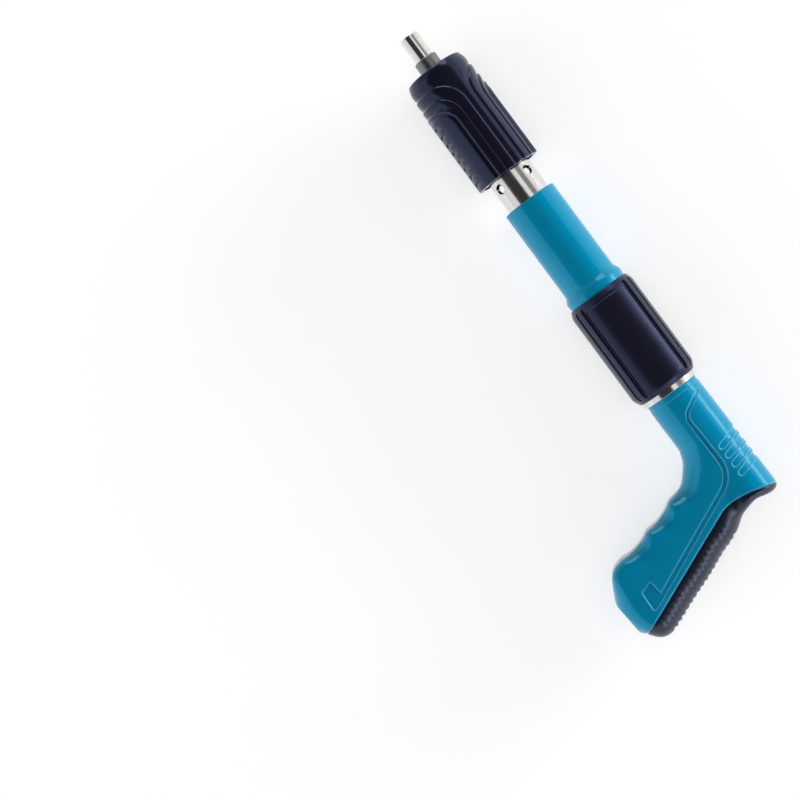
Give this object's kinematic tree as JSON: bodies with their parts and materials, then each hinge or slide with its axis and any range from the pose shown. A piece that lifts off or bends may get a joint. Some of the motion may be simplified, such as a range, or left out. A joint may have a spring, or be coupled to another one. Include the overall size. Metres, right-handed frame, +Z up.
{
  "type": "cordless nailer",
  "caption": "Slim press-to-fire nail fastener with a sprung silenced nozzle, a vented steel tube, a teal body with a dark hand sleeve and a raked pistol handle with a ribbed rubber back.",
  "frame": {"origin": "centre of the nozzle's mouth, on the barrel axis", "axes": "+X out of the nozzle along the barrel, +Y towards the handle's foot, +Z up through the side of the tool, which lies on its other side"},
  "size_m": [0.3822, 0.1242, 0.0434],
  "materials": {
    "stainless": "satin",
    "steel": "machined",
    "aluminium": "machined",
    "dark_plastic": "satin",
    "teal_paint": "gloss",
    "teal_plastic": "gloss",
    "rubber": "matte",
    "bronze": "machined",
    "brass": "machined"
  },
  "bodies": {
    "body": {"body_tube": "teal_paint", "front_bush": "bronze", "wiper_seal": "rubber", "grip_sleeve": "dark_plastic", "joint_collar": "stainless", "joint_screws": "steel", "return_spring": "steel", "return_spring_washer": "steel", "striker_housing": "steel", "main_spring": "steel", "spring_guide": "steel", "rear_plug": "steel", "plug_pin": "steel", "recoil_pad": "rubber", "handle_left": "teal_plastic", "handle_right": "teal_plastic", "handle_back_grip": "rubber", "handle_screws": "steel", "handle_inserts": "brass", "handle_lock_pin": "steel"},
    "muzzle_unit": {"nozzle": "stainless", "nozzle_lock_nut": "stainless", "muzzle_plug": "steel", "launch_tube": "stainless", "silencer_sleeve": "dark_plastic", "silencer_baffles": "aluminium", "silencer_end_ring": "aluminium", "silencer_seal": "rubber", "stop_buffer": "rubber", "stop_ring": "steel", "tube_circlip": "steel", "breech_plug": "steel", "breech_screws": "steel", "trip_collet": "steel"},
    "striker": {"firing_rod": "steel", "hammer": "steel", "hammer_pin": "steel"}
  },
  "joints": [
    {"name": "press_stroke", "type": "slide", "parent": "body", "child": "muzzle_unit", "axis": [-1, 0, 0], "range_m": [0, 0.016], "stiffness_N_per_m": 1500, "springref_m": -0.01, "deforming": ["return_spring", "main_spring", "trip_collet"]},
    {"name": "hammer_strike", "type": "slide", "parent": "muzzle_unit", "child": "striker", "axis": [1, 0, 0], "range_m": [0, 0.008], "stiffness_N_per_m": 400, "springref_m": -0.005, "deforming": ["main_spring", "trip_collet"]}
  ]
}
